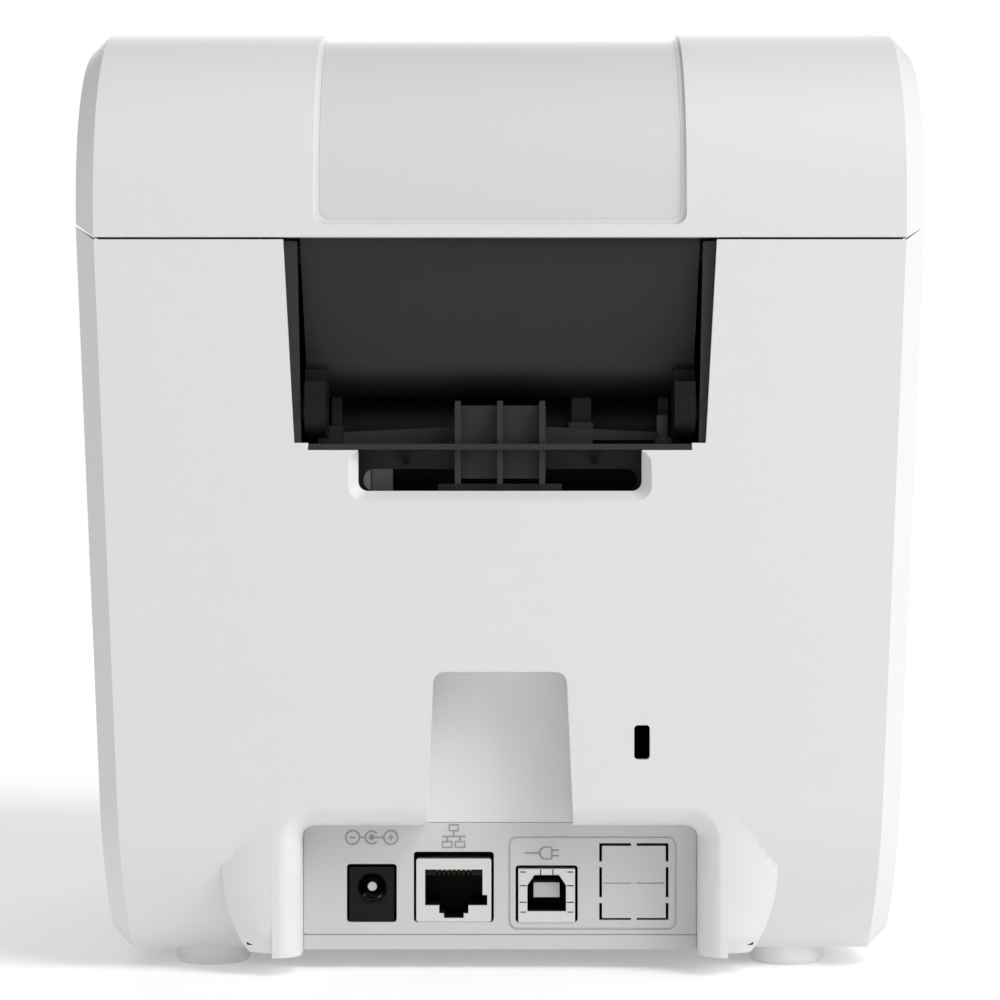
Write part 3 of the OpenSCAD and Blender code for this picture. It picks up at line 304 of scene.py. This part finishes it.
def tube(bm, path, radius, closed=False, sides=8):
    """A round bar along a path of points."""
    path = [Vector(p) for p in path]
    rings = []
    side = None
    for i, here in enumerate(path):
        before = path[i - 1] if i or closed else here
        after = path[(i + 1) % len(path)] if closed or i + 1 < len(path) else here
        along = (after - before).normalized()
        side = along.orthogonal() if side is None else side - along * side.dot(along)
        side.normalize()
        across = along.cross(side)
        turns = [2 * math.pi * k / sides for k in range(sides)]
        ring = [here + (side * math.cos(t) + across * math.sin(t)) * radius for t in turns]
        rings.append([bm.verts.new(point) for point in ring])
    for i in range(len(rings) if closed else len(rings) - 1):
        one, two = rings[i], rings[(i + 1) % len(rings)]
        for k in range(sides):
            bm.faces.new((one[k], one[(k + 1) % sides], two[(k + 1) % sides], two[k]))
    if not closed:
        bm.faces.new(rings[0])
        bm.faces.new(rings[-1])


def block(bm, start, end):
    """A box between two corners."""
    size = Vector(end) - Vector(start)
    middle = (Vector(end) + Vector(start)) / 2
    made = bmesh.ops.create_cube(bm, size=1)
    bmesh.ops.scale(bm, vec=size, verts=made["verts"])
    bmesh.ops.translate(bm, vec=middle, verts=made["verts"])


def arc_path(x, y, z, radius, start=0.0, end=360.0, steps=28):
    """Points on a circle that faces the rear. The last point is left out of a full circle."""
    count = steps if end - start >= 360 else steps + 1
    turns = [math.radians(start + (end - start) * i / steps) for i in range(count)]
    return [(x + radius * math.cos(t), y, z + radius * math.sin(t)) for t in turns]


def mm_box(node):
    """A node's box in millimetres."""
    start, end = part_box(node)
    return Vector(start) / MM, Vector(end) / MM


def above_port(node):
    """Middle of a socket across the body, and the depth of the panel's face."""
    start, end = mm_box(node)
    return (start.x + end.x) / 2, mm_box("port_panel")[1].y


# Half the width of the symbols' lines
LINE = 0.17


def power_symbol(bm):
    """Polarity of the barrel jack: ring with a minus, open ring round a dot, ring with a plus."""
    x, y = above_port("dc_jack")
    z = 27.9
    reach, ring, sign = 4.05, 1.45, 0.6
    for place in (x - reach, x + reach):
        tube(bm, arc_path(place, y, z, ring), LINE, closed=True)
        tube(bm, [(place - sign, y, z), (place + sign, y, z)], LINE)
    tube(bm, [(x - reach, y, z - sign), (x - reach, y, z + sign)], LINE)
    tube(bm, arc_path(x, y, z, ring - 0.1, -140, 140), LINE)
    tube(bm, arc_path(x, y, z, 0.3), 0.3, closed=True)
    tube(bm, [(x + ring, y, z), (x + reach - ring, y, z)], LINE)
    tube(bm, [(x - 0.4, y, z), (x - reach + ring, y, z)], LINE)


def network_symbol(bm):
    """One box above two, joined by lines."""
    x, y = above_port("lan_socket")
    bar_z = 28.15
    apart = 1.35
    tall = 0.62
    for place, z, half in ((x, 30.0, 0.95), (x - apart, 26.45, 1.0), (x + apart, 26.45, 1.0)):
        outline = [(place - half, y, z - tall), (place + half, y, z - tall), (place + half, y, z + tall),
                   (place - half, y, z + tall)]
        tube(bm, outline, LINE, closed=True)
    tube(bm, [(x - 2.5, y, bar_z), (x + 2.5, y, bar_z)], LINE)
    tube(bm, [(x, y, bar_z), (x, y, 29.4)], LINE)
    for place in (x - apart, x + apart):
        tube(bm, [(place, y, bar_z), (place, y, 27.1)], LINE)


def plug_symbol(bm):
    """A plain plug with two pins and a lead."""
    x, y = above_port("usb_shell")
    z = 24.6
    back, front, tall = 0.2, 1.1, 1.25
    body = arc_path(x + back, y, z, tall, -90, 90) + [(x - front, y, z + tall), (x - front, y, z - tall)]
    tube(bm, body, LINE, closed=True)
    for shift in (-0.6, 0.6):
        tube(bm, [(x - front, y, z + shift), (x - front - 1.5, y, z + shift)], LINE)
    tube(bm, [(x + back + tall, y, z), (x + 4.6, y, z)], LINE)


def guide_tab(bm):
    """Small flag of the paper guide beside the rear opening."""
    sill = mm_box("rear_guide")[1].y
    block(bm, (-35.8, sill - 15.5, 111.1), (-33.4, sill - 14.0, 117.6))
    block(bm, (-36.6, sill - 15.9, 111.1), (-32.9, sill - 13.6, 112.8))


def casing_rib(bm):
    """Rib of the casing that shows through the end of the pill slot."""
    wall = mm_box("rear_guide")[1].y
    block(bm, (23.0, wall - 21.0, 98.0), (44.0, wall - 19.0, 108.0))
    block(bm, (27.6, wall - 19.2, 98.0), (29.6, wall - 13.0, 108.0))


def coil_spring(bm, x, y, z0, z1, radius, wire, turns):
    """A wound spring with its two end turns lying flat, standing along Z."""
    steps = turns * 20
    path = []
    for i in range(steps + 1):
        part = i / steps
        rise = min(1, max(0, (part * turns - 1) / (turns - 2)))
        t = 2 * math.pi * turns * part
        z = z0 + wire + (z1 - z0 - 2 * wire) * rise
        path.append((x + radius * math.cos(t), y + radius * math.sin(t), z))
    tube(bm, path, wire, sides=6)


SPRING_WIRE = 0.4
SPRING_TURNS = 8


def add_details(materials):
    # The symbols are moulded in the panel's own plastic; their darker grey is painted shade that stands in
    # for the shading of the raised lines.
    shaded_marks = grained("panel_mark_painted_shade", (0.60, 0.60, 0.60), rough=0.5, grain_depth=0.08)
    piece("power_symbol", "base", shaded_marks, power_symbol)
    piece("network_symbol", "base", shaded_marks, network_symbol)
    piece("plug_symbol", "base", shaded_marks, plug_symbol)
    tab = grained("tab_plastic", (0.30, 0.30, 0.30), rough=0.5, grain_depth=0.1)
    piece("guide_tab", "base", tab, guide_tab, bevel=0.2)
    piece("casing_rib", "base", materials["casing"], casing_rib, bevel=0.2)

    # two wound springs over the print head, in place of the CAD springs
    low, high = mm_box("head_springs")
    middle_y = (low.y + high.y) / 2
    tube_r = (high.y - low.y) / 2
    for side, x in (("left", high.x - tube_r), ("right", low.x + tube_r)):
        spring = piece(side + "_head_spring", "lid", materials["steel"],
                       lambda bm: coil_spring(bm, x, middle_y, low.z, high.z, tube_r - SPRING_WIRE,
                                              SPRING_WIRE, SPRING_TURNS))
        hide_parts("head_springs")
        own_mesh(spring)


def make_floor():
    """White ground under the object, lit a little from within so that it fades into the backdrop."""
    bpy.ops.mesh.primitive_plane_add(size=3.2, location=(0, 0, 0))
    floor = bpy.context.object
    floor.name = "floor"
    paper = grained("floor_paper", (0.97, 0.97, 0.97), rough=0.9, grain=300, mottle=0.003)
    shader = paper.node_tree.nodes["Principled BSDF"]
    shader.inputs["Emission Color"].default_value = (1, 1, 1, 1)
    shader.inputs["Emission Strength"].default_value = 0.18
    floor.data.materials.append(paper)


bpy.context.scene.view_settings.view_transform = "Standard"  # greys as they are, with no film curve
make_camera()
make_world()
make_lights()
make_floor()
materials = make_materials()
dress_all(materials)
add_details(materials)
